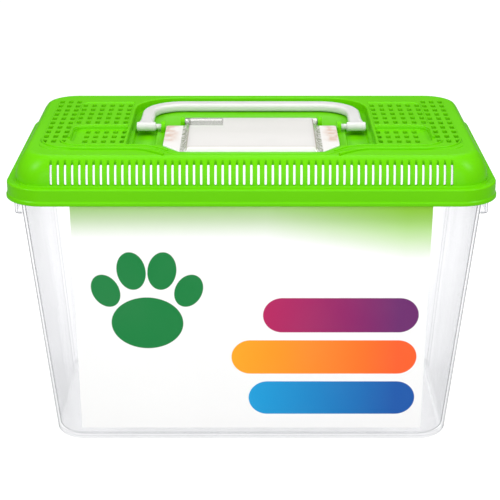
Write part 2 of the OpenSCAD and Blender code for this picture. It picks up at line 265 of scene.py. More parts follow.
def outline(corners, grow=0.0, steps=6):
    # a rounded outline through (x, y, radius) corners, anticlockwise, moved outwards by grow
    points = []
    spots = [Vector(corner[:2]) for corner in corners]
    for here, spot in enumerate(spots):
        back = (spot - spots[here - 1]).normalized()
        ahead = (spots[(here + 1) % len(spots)] - spot).normalized()
        turn = math.atan2(back.cross(ahead), back.dot(ahead))
        side = math.copysign(1, turn)
        shift = (Vector((back.y, -back.x)) + Vector((ahead.y, -ahead.x))) / (1 + back.dot(ahead))
        spot = spot + shift * grow
        radius = max(corners[here][2] + grow * side, 0.15)
        reach = radius * math.tan(abs(turn) / 2)
        centre = spot - back * reach + Vector((-back.y, back.x)) * radius * side
        first = spot - back * reach - centre
        for step in range(steps + 1):
            angle = turn * step / steps
            points.append((centre.x + first.x * math.cos(angle) - first.y * math.sin(angle),
                           centre.y + first.x * math.sin(angle) + first.y * math.cos(angle)))
    return points


def raised(points, z):
    return [(x, y, z) for x, y in points]


def loft(rings, closed=False):
    # a skin through rings that have as many points, capped at its ends or joined end to start
    shape = bmesh.new()
    loops = [[shape.verts.new(Vector(point) * mm) for point in ring] for ring in rings]
    pairs = list(zip(loops, loops[1:])) + ([(loops[-1], loops[0])] if closed else [])
    for lower, upper in pairs:
        for here in range(len(lower)):
            after = (here + 1) % len(lower)
            shape.faces.new((lower[here], lower[after], upper[after], upper[here]))
    if not closed:
        shape.faces.new(reversed(loops[0]))
        shape.faces.new(loops[-1])
    return shape


def plug(corners, levels, steps=6):
    # an upright solid on one outline, with (height, grow) levels from the bottom to the top
    return loft([raised(outline(corners, grow, steps), z) for z, grow in levels])


def box(x0, x1, y0, y1, radius=0.0):
    return [(x1, y0, radius), (x1, y1, radius), (x0, y1, radius), (x0, y0, radius)]


def mirrored(corners):
    return [(-x, y, radius) for x, y, radius in reversed(corners)]


def newPiece(name, shape, finish=None):
    bmesh.ops.recalc_face_normals(shape, faces=shape.faces)
    mesh = bpy.data.meshes.new(name)
    shape.to_mesh(mesh)
    shape.free()
    if finish:
        mesh.materials.append(finish)
    piece = bpy.data.objects.new(name, mesh)
    bpy.context.scene.collection.objects.link(piece)
    return piece


def work(piece, shape, operation):
    # cuts a shape out of a piece, or joins it on
    tool = newPiece("tool", shape)
    change = piece.modifiers.new("work", "BOOLEAN")
    change.operation = operation
    change.solver = "MANIFOLD"
    change.object = tool
    settle(piece)
    bpy.data.objects.remove(tool)


def cut(piece, shape):
    work(piece, shape, "DIFFERENCE")


def join(piece, shape):
    work(piece, shape, "UNION")


def settle(piece):
    # what the modifiers make becomes the piece's own mesh
    graph = bpy.context.evaluated_depsgraph_get()
    graph.update()
    made = bpy.data.meshes.new_from_object(piece.evaluated_get(graph), depsgraph=graph)
    piece.modifiers.clear()
    piece.data = made
    made.name = piece.name


def polish(piece, finish, angle=32):
    # smooth faces that meet at sharp edges, with big flat faces kept flat
    piece.data.materials.clear()
    piece.data.materials.append(finish)
    piece.data.shade_smooth()
    piece.data.set_sharp_from_angle(angle=math.radians(angle))
    weighted = piece.modifiers.new("weighted", "WEIGHTED_NORMAL")
    weighted.keep_sharp = True
    settle(piece)


def dress(piece, node, body):
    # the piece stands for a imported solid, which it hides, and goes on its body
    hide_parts(node)
    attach(piece, body)
    print(piece.name, "stands for", node, "with", len(piece.data.polygons), "faces")


# The tub: a clear drafted box with a rim and a grip at each end
tub = {
    "base": (283, 140), "height": 195, "draft": 5, "corner": 23, "wall": 2, "floor": 2.4,
    "foot": 2, "innerFoot": 4, "rimOut": 4.3, "rimThick": 2.2, "rimCorner": 24, "edge": 0.5,
    "grip": {"length": 124, "drop": 25.5, "thick": 1.6, "bend": 4, "reach": 7},
}
slope = math.tan(math.radians(tub["draft"]))
tubTop = [half / 2 + slope * tub["height"] for half in tub["base"]]


def tubRing(z, grow):
    halfX, halfY = [half / 2 + slope * z + grow for half in tub["base"]]
    return raised(roundRect(halfX, halfY, tub["corner"] + grow), z)


def rimRing(z, inset):
    out = tub["rimOut"] - inset
    return raised(roundRect(tubTop[0] + out, tubTop[1] + out, tub["rimCorner"] - inset), z)


def clearMaterial():
    # clear plastic, with painted shade where it turns away: in the corners, on the grips and round the foot
    made, nodes = newMaterial("clearPlastic")
    edge = nodes.add("ShaderNodeLayerWeight", sockets={"Blend": 0.5}, output="Facing")
    gloss = nodes.add("ShaderNodeFresnel", sockets={"IOR": 1.45})
    x, y, z = nodes.place()
    nx, ny, nz = nodes.turned()

    # painted shade: a thin darker line in each round corner, where the plastic turns away, stronger towards
    # the rim
    corner = (abs(y) - z * slope).rise(tub["base"][1] / 2 - tub["corner"], 0.4)
    line = edge.rise(0.72, 12) * corner * (z / tub["height"] * 0.5 + 0.5)

    # painted shade along the outlines of the grips, which hang beside the walls: their round ends and their
    # lower edge
    grip = tub["grip"]
    hung = (abs(x) - z * slope).rise(tub["base"][0] / 2 + 0.5, 1) * z.rise(tub["height"] - 3, -1)
    ends = abs(y).rise(grip["length"] / 2 - grip["bend"], 2)
    sill = z.band(tub["height"] - grip["drop"] + 0.4, 1.0) * abs(ny)
    hung = hung * ((edge.rise(0.35, 3) * ends).atLeast(sill) * 0.5 + ends * 0.10)

    # the round foot, painted with level beads of shade, mostly at the front
    beads = ((z + 0.6) % 2.3).band(1.15, 0.6)
    front = (-ny).unit() * 0.8 + 0.2
    foot = z.rise(5.8, -2) * (1.1 - abs(nz) * 1.2).unit() * (beads * 0.18 + 0.15) * front
    # the painted shade of the foot and the grips, which turns the body grey and less clear
    dark = foot + hung

    # upright streaks in the side walls, a thin haze and fine scratches
    streaks = nodes.noise(16, detail=1, stretch=(1, 1, 0.03)).rise(0.42, 5) * (abs(nx) * 0.8 + 0.2)
    haze = nodes.noise(60, detail=3) * 0.03 + streaks * 0.05
    scratches = nodes.noise(2.2, detail=1, stretch=(1, 1, 0.04)).rise(0.62, 1) * 0.1

    nearness = 1 - y.rise(-60, 1 / 130) * 0.65
    share = (edge ** 3.0 * 0.15 * nearness + line * 0.75 + dark + haze + scratches + 0.012).unit()
    tint = nodes.blend((line + dark * 1.6).unit(), (0.80, 0.80, 0.88, 1), (0.10, 0.10, 0.13, 1))
    body = nodes.plastic(Base_Color=tint, Roughness=nodes.noise(25) * 0.1 + 0.12, IOR=1.49)
    clear = nodes.add("ShaderNodeBsdfTransparent", sockets={"Color": (0.990, 0.990, 0.995, 1)})
    mirror = nodes.add("ShaderNodeBsdfGlossy", sockets={"Color": (1, 1, 1, 1), "Roughness": 0.06})
    wall = nodes.mixShaders(share, clear, body)
    nodes.show(nodes.mixShaders((gloss * 0.15).atMost(0.10), wall, mirror))
    return made


def makeTub():
    foot, inner, edge = tub["foot"], tub["innerFoot"], tub["edge"]
    height, out, wall = tub["height"], tub["rimOut"], tub["wall"]
    rings = [tubRing(foot + z, grow - foot) for grow, z in arc(0, 0, foot, -90, 0, 5)]
    under = height - tub["rimThick"]
    rings += [tubRing(under - edge, 0), tubRing(under, edge)]
    rings += [rimRing(under + edge + z, edge - grow) for grow, z in arc(0, 0, edge, -90, 0, 3)]
    rings += [rimRing(height - edge + z, edge - grow) for grow, z in arc(0, 0, edge, 0, 90, 3)]
    shell = newPiece("tubShell", loft(rings))

    grip = tub["grip"]
    farX = tubTop[0] + out
    nearX = farX - grip["reach"]
    half, thick, bend = grip["length"] / 2, grip["thick"], grip["bend"]
    corners = [(nearX, -half, 0.2), (farX, -half, bend), (farX, half, bend), (nearX, half, 0.2),
               (nearX, half - thick, 0.2), (farX - thick, half - thick, bend - thick),
               (farX - thick, thick - half, bend - thick), (nearX, thick - half, 0.2)]
    low = height - grip["drop"]
    levels = [(low, -0.3), (low + 0.3, 0), (height - edge, 0)]
    join(shell, plug(corners, levels))
    join(shell, plug([(-x, -y, radius) for x, y, radius in corners], levels))

    hollow = [tubRing(tub["floor"] + inner + z, grow - wall - inner)
              for grow, z in arc(0, 0, inner, -90, 0, 6)]
    hollow += [tubRing(height - edge, -wall)]
    hollow += [tubRing(height + up, edge - wall) for up in (0, 1)]
    cut(shell, loft(hollow))
    polish(shell, clearMaterial())
    dress(shell, "tub", "tub")


# The label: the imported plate, with a plain printed design of its own
label = {
    "paper": (0.925, 0.925, 0.92, 1), "leafGreen": (0.0, 0.20, 0.04, 1), "lime": (0.30, 0.68, 0.025, 1),
    # the painted glow on the back, which stands for light coming through the paper
    "paintedBackGlow": (0.2, 0.2, 0.2, 1),      # the light that comes through to its back
    "right": 116, "barHeight": 27,
    "bars": [   # centre height, left end, the colours of its two ends
        (101, 8, (0.46, 0.006, 0.10, 1), (0.14, 0.014, 0.14, 1)),
        (68, -14, (0.95, 0.38, 0.008, 1), (0.94, 0.11, 0.015, 1)),
        (35, -2, (0.0, 0.33, 0.68, 1), (0.002, 0.09, 0.39, 1)),
    ],
    "paw": (-72, 108),
    "pads": [   # across, up, half width, half height, tilt
        (0, -13, 25, 20, 0),
        (-28, 12, 9.5, 13, 24), (-10, 27, 10, 14.5, 8), (11, 27, 10, 14.5, -8), (29, 12, 9.5, 13, -24),
    ],
}


def labelMaterial():
    made, nodes = newMaterial("printedLabel")
    x, y, z = nodes.place()
    sharp = 4.0     # how quickly an edge of the print turns from 0 to 1, per millimetre

    # lime that fades down the label, deeper towards its right end
    depth = x.rise(10, 1 / 95)
    clear = 1 - ((z - (160 - depth * 16)) / (depth * 16 + 24)).unit()
    fade = (1 - clear ** (depth * 0.6 + 1)) * (depth * 0.2 + 0.8)
    colour = nodes.blend(fade, label["paper"], label["lime"])

    for height, left, first, last in label["bars"]:
        radius = label["barHeight"] / 2
        right = label["right"] - radius
        past = abs(x - (left + radius + right) / 2) - (right - left - radius) / 2
        across = past.atLeast(0.0)
        away = (across * across + (z - height) ** 2) ** 0.5
        ink = nodes.blend(x.rise(left, 1 / (right - left)), first, last)
        colour = nodes.blend(away.rise(radius, -sharp), colour, ink)

    pawX, pawZ = label["paw"]
    for across, up, halfWide, halfHigh, tilt in label["pads"]:
        lean = math.radians(tilt)
        dx, dz = x - (pawX + across), z - (pawZ + up)
        u = (dx * math.cos(lean) + dz * math.sin(lean)) / halfWide
        v = (dz * math.cos(lean) - dx * math.sin(lean)) / halfHigh
        inside = ((1 - (u * u + v * v) ** 0.5) * sharp * halfWide).unit()
        colour = nodes.blend(inside, colour, label["leafGreen"])

    # the back of the label is plain paper, with a painted glow that stands for a little light coming through
    # it
    toBack = (nodes.turned()[1] * 4).unit()
    colour = nodes.blend(toBack, colour, label["paper"])
    paintedGlow = nodes.blend(toBack, (0, 0, 0, 1), label["paintedBackGlow"])

    # print that isn't quite even, on paper with a fine grain under a thin varnish
    grain = nodes.noise(0.9, detail=3)
    shade = nodes.noise(45) * 0.04 + 0.96
    colour = nodes.blend(1 - shade, colour, (0.5, 0.5, 0.5, 1))
    nodes.show(nodes.plastic(
        Base_Color=colour, Roughness=grain * 0.12 + 0.36, Specular_IOR_Level=0.2,
        Emission_Color=paintedGlow, Emission_Strength=1.0, Coat_Weight=0.10, Coat_Roughness=0.12,
        Normal=nodes.bump(grain, 0.02)))
    return made


def makeLabel():
    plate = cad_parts["label"]
    finish = labelMaterial()
    if not plate.data.materials:
        plate.data.materials.append(finish)
    for place in range(len(plate.data.materials)):
        plate.data.materials[place] = finish
    print("label printed with", len(label["bars"]), "bars and a paw")


# The two hinges along X: the y and z of each axis, and where and how wide its bores in the lid are
hinges = {
    "handle": {"axis": (0, 214), "lugX": 61.2, "bore": 4.1},
    "door": {"axis": (8.6, 215.35), "lugX": 47.8, "bore": 3.1},
}


# The lid
lid = {
    "skirtLow": 185.5, "rim": 216.5, "deck": 217.0, "wall": 2.0, "clearance": 0.4,
    "bead": 0.8, "beadHeight": 3.0, "beadLow": 0.5, "beadTop": 1.2, "skirtHigh": 197.0, "skirtEdge": 1.2,
    "ledge": 6.0, "stepHeight": 1.0, "stepWidth": 1.4, "stepEdge": 0.4, "shoulder": 26.0, "crest": 5.0,
    "hollowTop": 195.0, "lowFace": 210.7, "lugThick": 3, "lugWall": 2,
    "pocket": {"x": 75.0, "half": 7.8, "front": -40, "back": 6.75, "corner": 2},
    "feederHole": {"half": 43, "front": -66, "back": 2, "corner": 3},
}
edges = {       # how an outline steps in and out, as (up, grow) from the level it is used at
    "deckTop": [(-1.2, 0), (0.1, 0), (0.35, -0.15), (0.5, -0.45)],
    "soft": [(0, -1.0), (0.3, -0.3), (1, 0)],
    "wellMouth": [(-1.2, 0), (-0.5, 0.2), (-0.1, 0.7), (0.1, 1.3), (3, 2.2)],
    "pocketUnder": [(-5, -0.6), (-4.4, 0), (-0.5, 0)],
    "pocket": [(-3, -0.8), (-2.2, 0), (-0.5, 0), (0.1, 0.5)],
    "panelUnder": [(0, -0.5), (0.5, 0)],
    "panel": [(0, -0.8), (0.25, -0.25), (0.5, 0)],
    "panelMouth": [(-0.15, 0.15), (0.1, 0.5), (2, 0.9)],
}
skirtX = tubTop[0] + tub["rimOut"] + lid["clearance"] + lid["wall"]
skirtY = tubTop[1] + tub["rimOut"] + lid["clearance"] + lid["wall"]
skirtCorner = tub["rimCorner"] + lid["clearance"] + lid["wall"]
wellCorners = [
    (85.3, -56, 5), (85.3, 70.5, 30), (-85.3, 70.5, 30), (-85.3, -56, 5),
    (-61.5, -56, 4), (-48.5, -72, 3), (48.5, -72, 3), (61.5, -56, 4),
]
panelLeft = 87.3
panels = {      # "plain" is what has no holes at the outer end, "back" how far the holes are moved back
    "rear": {"corners": [(panelLeft, -4, 1), (126.3, -4, 4), (126.3, 57.8, 7), (panelLeft, 57.8, 1)],
             "sink": 0.8, "columns": 6, "rows": 5, "pitch": 6.7, "plain": 0, "back": 0, "length": 7.0},
    "front": {"corners": [(panelLeft, -51.8, 1), (124.3, -51.8, 9), (124.3, -11.5, 9), (panelLeft, -11.5, 1)],
              "sink": 2.0, "columns": 5, "rows": 3, "pitch": 6.4, "plain": 8, "back": 1.75, "length": 6.3},
}


def lidRing(inset, z):
    # past the ledge the corners stay almost as round as they are there
    radius = skirtCorner - inset + max(inset - lid["ledge"], 0) * 0.9
    return raised(roundRect(skirtX - inset, skirtY - inset, radius, 14), z)


def shoulderLine(inset):
    # the shoulder and its rounded crest, from the ledge up, as (distance in from the skirt, height)
    foot = lid["skirtHigh"] + lid["stepHeight"]
    reach, crest = lid["shoulder"], lid["crest"]
    centre = lid["ledge"] + reach
    lean = math.degrees(math.asin((lid["rim"] - foot - crest) / (reach - crest)))
    crestIn = centre - (reach - crest) * math.cos(math.radians(lean))
    return (arc(centre, foot, reach - inset, 180, 180 - lean, 12)
            + arc(crestIn, lid["rim"] - crest, crest - inset, 180 - lean, 90, 6)[1:])


def lidShell():
    # the lid without its deck: rings from under the crest out to the skirt and back up over it
    low, wall, bead, high = lid["skirtLow"], lid["wall"], lid["bead"], lid["skirtHigh"]
    stepIn = lid["ledge"] - lid["stepWidth"]
    under = list(reversed(shoulderLine(wall)))
    line = under + [(lid["ledge"] + wall, lid["hollowTop"]), (wall, lid["hollowTop"]), (wall, low + 0.3),
                    (wall - 0.3, low)]

    # the bead along the skirt's lower edge, the skirt, the step on the ledge, and the shoulder
    beadLow, beadTop = lid["beadLow"], lid["beadTop"]
    line += arc(-bead + beadLow, low + beadLow, beadLow, 270, 180, 3)
    line += arc(-bead + beadTop, low + lid["beadHeight"] - beadTop, beadTop, 180, 135, 3)
    line += [(0, low + lid["beadHeight"] + 0.2)]
    line += arc(lid["skirtEdge"], high - lid["skirtEdge"], lid["skirtEdge"], 180, 90, 4)
    line += [(stepIn - 0.2, high), (stepIn + 0.15, high + 0.15)]
    line += arc(stepIn + 0.75, high + lid["stepHeight"] - lid["stepEdge"], lid["stepEdge"], 180, 90, 2)
    line += shoulderLine(0)
    return newPiece("lidShell", loft([lidRing(inset, z) for inset, z in line]))


deckCorners = [
    (144.3, 72.8, 12), (-144.3, 72.8, 12), (-144.3, -65.3, 12), (-64, -65.3, 9), (-52, -77.3, 5),
    (52, -77.3, 5), (64, -65.3, 9), (144.3, -65.3, 12),
]
ridges = [      # two round the front of the deck, and the rib between the panels
    {"width": 1.5, "height": 0.9, "points": [
        (-131, -46), (-127.5, -52.5), (-120, -57), (-108, -58), (-90, -58), (-75, -58), (-68, -60),
        (-62, -64.5), (-56, -71)]},
    {"width": 1.5, "height": 1.0, "points": [
        (-144, -43), (-141, -53), (-134, -60.5), (-122, -64.6), (-108, -65.4), (-90, -65.4),
        (-79, -65.6), (-72, -68), (-65, -73), (-58.5, -79)]},
    {"width": 2.8, "height": 1.2, "points": [
        (-87.5, -9.3), (-100, -9.3), (-112, -9.3), (-119, -10.3), (-123.6, -14), (-125.5, -21),
        (-125.6, -40)]},
]
vents = {
    "width": 3.3, "length": 7.0, "corner": 0.6, "rowPitch": 11.6, "chamfer": 0.3, "flare": 0.08, "depth": 6,
    "strip": {"x": 135.26, "y": 5.0, "columns": 3, "rows": 10, "pitch": 6.4},
}
slots = {
    "count": 57, "pitch": 4.75, "width": 1.5, "height": 12.4, "low": 198.05,
    "corner": 0.6, "depth": 15.5, "chamfer": 0.5,
    # the upright cut at the top of each, whose end lies this far in from the skirt
    "topEnd": 11.6, "topLength": 4.2, "topLow": 209.4, "topCorner": 0.3,
}


def stepped(level, steps, grow=0.0):
    # the (height, grow) levels of one of the edges, for a plug
    return [(level + up, grow + out) for up, out in steps]


def smoothLine(points, steps=5):
    # a soft line through the points
    padded = [2 * Vector(points[0]) - Vector(points[1])] + [Vector(point) for point in points]
    padded.append(2 * padded[-1] - padded[-2])
    line = []
    for a, b, c, d in zip(padded, padded[1:], padded[2:], padded[3:]):
        for step in range(steps):
            t = step / steps
            line.append(0.5 * (2 * b + (c - a) * t + (2 * a - 5 * b + 4 * c - d) * t ** 2
                               + (3 * b - a - 3 * c + d) * t ** 3))
    return line + [padded[-2]]


def sideways(line, here):
    # the level direction to the right of the line at one of its points
    ahead = line[min(here + 1, len(line) - 1)] - line[max(here - 1, 0)]
    return Vector((ahead.y, -ahead.x)).normalized()


def sweep(line, z, section):
    # a bar that follows a level line, with a section of (sideways, up) points
    rings = []
    for here, spot in enumerate(line):
        side = sideways(line, here)
        rings.append([(spot.x + side.x * across, spot.y + side.y * across, z + up)
                      for across, up in section])
    return loft(rings)


def rod(x0, x1, y, z, radius, edge=0.0, steps=24):
    # a round rod along X, with its ends rounded by edge
    ends = [(x0, radius)]
    if edge:
        ends = [(x0, radius - edge), (x0 + edge * 0.3, radius - edge * 0.3), (x0 + edge, radius)]
    ends += [(x0 + x1 - x, r) for x, r in reversed(ends)]
    return loft([[(x, y + across, z + up) for across, up in arc(0, 0, r, 0, 360, steps)[:-1]]
                 for x, r in ends])


def lugShape(x, y, z, bore):
    # a bearing plate with a round top, which stands on the well's floor
    radius = bore / 2 + lid["lugWall"]
    floor = lid["lowFace"] - 1
    edge = arc(y, z, radius, 0, 180, 14) + [(y - radius, floor), (y + radius, floor)]
    return loft([[(x + shift, across, up) for across, up in edge] for shift in (0, lid["lugThick"])])


def perforationTree():
    # cuts a grid of round-cornered holes out of a piece, each with a chamfered mouth
    tree = bpy.data.node_groups.new("perforations", "GeometryNodeTree")
    kinds = {"Piece": "Geometry", "Columns": "Int", "Rows": "Int", "Column pitch": "Float",
             "Row pitch": "Float", "Hole width": "Float", "Hole length": "Float", "Corner": "Float",
             "Depth": "Float", "Chamfer": "Float", "Flare": "Float", "Centre": "Vector",
             "Turn": "Rotation", "Finish": "Material"}
    for name, kind in kinds.items():
        tree.interface.new_socket(name, in_out="INPUT", socket_type="NodeSocket" + kind)
    tree.interface.new_socket("Piece", in_out="OUTPUT", socket_type="NodeSocketGeometry")
    nodes = Nodes(tree)
    given = tree.nodes.new("NodeGroupInput")
    asked = {name: Wire(nodes, given.outputs[name]) for name in kinds}

    index = nodes.add("GeometryNodeInputIndex")
    columns, rows = asked["Columns"], asked["Rows"]
    across = (index % columns - (columns - 1) / 2) * asked["Column pitch"]
    along = ((index / columns).floored() - (rows - 1) / 2) * asked["Row pitch"]
    spot = nodes.add("ShaderNodeCombineXYZ", sockets={0: across, 1: along})
    points = nodes.add("GeometryNodePoints", sockets={"Count": columns * rows, "Position": spot})

    # the stem has three points: the bottom, the chamfer's lower edge, and its top past the surface
    mouth, chamfer = (index - 1).atLeast(0.0), asked["Chamfer"]
    height = mouth * chamfer * 2 - chamfer - (1 - index).atLeast(0.0) * (asked["Depth"] - chamfer)
    stem = nodes.add("GeometryNodeMeshLine", {"mode": "OFFSET"}, {"Count": 3})
    stem = nodes.add("GeometryNodeMeshToCurve", sockets={0: stem})
    stem = nodes.add("GeometryNodeSetPosition", sockets={
        0: stem, "Position": nodes.add("ShaderNodeCombineXYZ", sockets={2: height})})
    edge = nodes.add("GeometryNodeCurvePrimitiveQuadrilateral",
                     sockets={"Width": asked["Hole width"], "Height": asked["Hole length"]})
    edge = nodes.add("GeometryNodeFilletCurve", {"mode": "POLY"},
                     {0: edge, "Count": 2, "Radius": asked["Corner"], "Limit Radius": True})
    tool = nodes.add("GeometryNodeCurveToMesh", sockets={
        "Curve": stem, "Profile Curve": edge, "Scale": mouth * asked["Flare"] + 1, "Fill Caps": True})
    tools = nodes.add("GeometryNodeInstanceOnPoints", sockets={"Points": points, "Instance": tool})
    tools = nodes.add("GeometryNodeRealizeInstances", sockets={0: tools})
    tools = nodes.add("GeometryNodeTransform", sockets={
        0: tools, "Translation": asked["Centre"], "Rotation": asked["Turn"]})
    holed = nodes.add("GeometryNodeMeshBoolean", {"operation": "DIFFERENCE", "solver": "MANIFOLD"},
                      {"Mesh 1": asked["Piece"], "Mesh 2": tools})
    holed = nodes.add("GeometryNodeRealizeInstances", sockets={0: holed})
    holed = nodes.add("GeometryNodeSetMaterial", sockets={0: holed, "Material": asked["Finish"]})
    shown = tree.nodes.new("NodeGroupOutput")
    tree.links.new(holed.socket, shown.inputs[0])
    return tree


def perforate(piece, tree, finish, columns, rows, centre, turn=0.0, flare=0.0, **sizes):
    # adds the tree to the piece; sizes holds the lengths among its inputs, by name and in millimetres
    values = {name: size * mm for name, size in sizes.items()}
    values.update(Columns=columns, Rows=rows, Centre=[part * mm for part in centre],
                  Turn=[turn, 0.0, 0.0], Flare=flare, Finish=finish)
    step = piece.modifiers.new(tree.name, "NODES")
    step.node_group = tree
    for item in tree.interface.items_tree:
        name = item.name.replace(" ", "_")
        if item.in_out == "INPUT" and name in values:
            step[item.identifier] = values[name]


def limeMaterial():
    # glossy lime plastic with a faint moulded skin, soft sink marks and a little dulling
    made, nodes = newMaterial("limePlastic")
    clouds = nodes.noise(70)
    colour = nodes.blend(clouds, (0.106, 0.50, 0.0002, 1), (0.124, 0.535, 0.0004, 1))
    skin = nodes.noise(1.1)
    sinks = nodes.noise(30, detail=1)
    scuffs = nodes.noise(5, detail=4, stretch=(1, 0.2, 1)).rise(0.55, 1)
    nodes.show(nodes.plastic(
        Base_Color=colour, Roughness=scuffs * 0.3 + clouds * 0.08 + 0.27, IOR=1.45,
        Specular_IOR_Level=0.11, Normal=nodes.bump(skin * 0.2 + sinks, 0.10)))
    return made


def lidHollows(shell):
    # what hangs under the deck, and what is sunk into it: the panels, the well, and the feet's pockets
    deck, rim, wall, floor = lid["deck"], lid["rim"], lid["wall"], lid["lowFace"]
    under = floor - wall
    join(shell, plug(wellCorners, stepped(under, edges["soft"], wall) + [(rim - 1, wall)]))
    foot = lid["pocket"]
    ends = foot["x"] - foot["half"], foot["x"] + foot["half"]
    pocket = box(*ends, foot["front"], foot["back"], foot["corner"])
    for corners in (pocket, mirrored(pocket)):
        join(shell, plug(corners, stepped(floor, edges["pocketUnder"], wall)))
    for panel in panels.values():
        for corners in (panel["corners"], mirrored(panel["corners"])):
            low = deck - panel["sink"]
            join(shell, plug(corners, stepped(low - wall, edges["panelUnder"], wall) + [(rim - 0.7, wall)]))
            cut(shell, plug(corners, stepped(low, edges["panel"]) + stepped(deck, edges["panelMouth"])))
    cut(shell, plug(wellCorners, stepped(floor, edges["soft"]) + stepped(deck, edges["wellMouth"])))
    for corners in (pocket, mirrored(pocket)):
        cut(shell, plug(corners, stepped(floor, edges["pocket"])))
    hole = lid["feederHole"]
    corners = box(-hole["half"], hole["half"], hole["front"], hole["back"], hole["corner"])
    cut(shell, plug(corners, [(under - 1, 0), (floor + 1, 0)]))


def lidHoles(shell, finish):
    # the vents in the end strips and in the panels, and the slots in the front and back shoulder
    tree = perforationTree()
    deck, rim, strip = lid["deck"], lid["rim"], vents["strip"]
    vent = {"Hole_width": vents["width"], "Corner": vents["corner"], "Row_pitch": vents["rowPitch"],
            "Chamfer": vents["chamfer"], "Depth": vents["depth"], "flare": vents["flare"]}
    slot = {"Column_pitch": slots["pitch"], "Row_pitch": 0.0, "Hole_width": slots["width"],
            "Chamfer": slots["chamfer"]}
    for side in (-1, 1):
        perforate(shell, tree, finish, strip["columns"], strip["rows"],
                  (side * strip["x"], strip["y"], deck),
                  Column_pitch=strip["pitch"], Hole_length=vents["length"], **vent)
        for panel in panels.values():
            xs = [x for x, y, radius in panel["corners"]]
            ys = [y for x, y, radius in panel["corners"]]
            centre = (side * (min(xs) + max(xs) - panel["plain"]) / 2,
                      (min(ys) + max(ys)) / 2 + panel["back"], deck - panel["sink"])
            perforate(shell, tree, finish, panel["columns"], panel["rows"], centre,
                      Column_pitch=panel["pitch"], Hole_length=panel["length"], **vent)
        perforate(shell, tree, finish, slots["count"], 1,
                  (0.0, side * skirtY, slots["low"] + slots["height"] / 2), turn=-side * math.pi / 2,
                  Hole_length=slots["height"], Corner=slots["corner"], Depth=slots["depth"], **slot)
        perforate(shell, tree, finish, slots["count"], 1,
                  (0.0, side * (skirtY - slots["topEnd"] + slots["topLength"] / 2), rim),
                  Hole_length=slots["topLength"], Corner=slots["topCorner"],
                  Depth=rim - slots["topLow"], **slot)


def makeLid():
    shell = lidShell()
    join(shell, plug(deckCorners, stepped(lid["rim"], edges["deckTop"])))
    for ridge in ridges:
        section = [(across * ridge["width"] / 2, up * ridge["height"])
                   for across, up in [(-1, -1.5), (1, -1.5)] + arc(0, 0, 1, 0, 180, 8)]
        line = smoothLine(ridge["points"])
        join(shell, sweep(line, lid["deck"], section))
        join(shell, sweep([Vector((-spot.x, spot.y)) for spot in reversed(line)], lid["deck"], section))
    lidHollows(shell)
    thick = lid["lugThick"]
    for side in (-1, 1):
        for hinge in hinges.values():
            y, z = hinge["axis"]
            start = hinge["lugX"] if side > 0 else -hinge["lugX"] - thick
            join(shell, lugShape(start, y, z, hinge["bore"]))
            cut(shell, rod(start - 0.5, start + thick + 0.5, y, z, hinge["bore"] / 2))
    finish = limeMaterial()
    lidHoles(shell, finish)
    settle(shell)
    polish(shell, finish)
    dress(shell, "lid", "lid")


# The carrying handle
handle = {
    "legX": 75, "reach": 61.5, "barWidth": 10, "barThick": 6, "bend": 25, "steps": 8,
    "gripWidth": 11, "gripShift": 0.3, "legWidth": 9.4, "edge": 2.2, "flare": 2.1, "flareEnd": 18,
    "footHalf": 6.8, "footRadius": 3.25, "footEdge": 0.7, "pinRadius": 2, "pinEnd": 61.2, "pinEdge": 0.4,
}


def whiteMaterial():
    # white satin plastic that lets a little light in, with a faint moulded skin
    made, nodes = newMaterial("whitePlastic")
    skin = nodes.noise(1.4)
    clouds = nodes.noise(24)
    colour = nodes.blend(clouds, (0.585, 0.585, 0.57, 1), (0.62, 0.62, 0.605, 1))
    nodes.show(nodes.plastic(Base_Color=colour, Roughness=clouds * 0.12 + 0.30, IOR=1.48,
                             Subsurface_Weight=0.6, Subsurface_Scale=0.004, Subsurface_Radius=(1, 1, 1),
                             Normal=nodes.bump(skin, 0.03)))
    return made


def makeHandle():
    bend, half, steps = handle["bend"], handle["barThick"] / 2, handle["steps"]
    y, pivot = hinges["handle"]["axis"]
    bendX, bendY = handle["legX"] - bend, handle["reach"] - handle["barWidth"] / 2 - bend
    line = [Vector((handle["legX"], step * bendY / steps)) for step in range(steps)]
    line += [Vector(spot) for spot in arc(bendX, bendY, bend, 0, 90, 14)]
    line += [Vector((bendX * (1 - 2 * step / steps), bendY + bend)) for step in range(1, steps)]
    line += [Vector(spot) for spot in arc(-bendX, bendY, bend, 90, 180, 14)]
    line += [Vector((-handle["legX"], bendY * (1 - step / steps))) for step in range(1, steps + 1)]
    rings = []
    for here, spot in enumerate(line):
        side = sideways(line, here)
        gripShare = min(max((spot.y - bendY) / bend, 0), 1)
        width = handle["legWidth"] + (handle["gripWidth"] - handle["legWidth"]) * gripShare
        # the grip widens towards the door, and the legs widen outwards at the feet
        shift = ((width - handle["legWidth"]) / 2 - handle["gripShift"]) * gripShare
        flare = handle["flare"] * max(1 - spot.y / handle["flareEnd"], 0) ** 2
        outwards = math.copysign(flare / 2, spot.x)
        rings.append([(spot.x + side.x * across + outwards, spot.y + side.y * across - shift, pivot + up)
                      for across, up in roundRect((width + flare) / 2, half, handle["edge"], 5)])
    bar = newPiece("handleBar", loft(rings))
    for side in (-1, 1):
        foot = [side * handle["legX"] - handle["footHalf"], side * handle["legX"] + handle["footHalf"]]
        join(bar, rod(foot[0], foot[1], y, pivot, handle["footRadius"], handle["footEdge"], 32))
        pin = sorted([side * handle["pinEnd"], side * handle["legX"]])
        join(bar, rod(pin[0], pin[1], y, pivot, handle["pinRadius"], handle["pinEdge"]))
    polish(bar, whiteMaterial())
    dress(bar, "carry_handle", "handle")


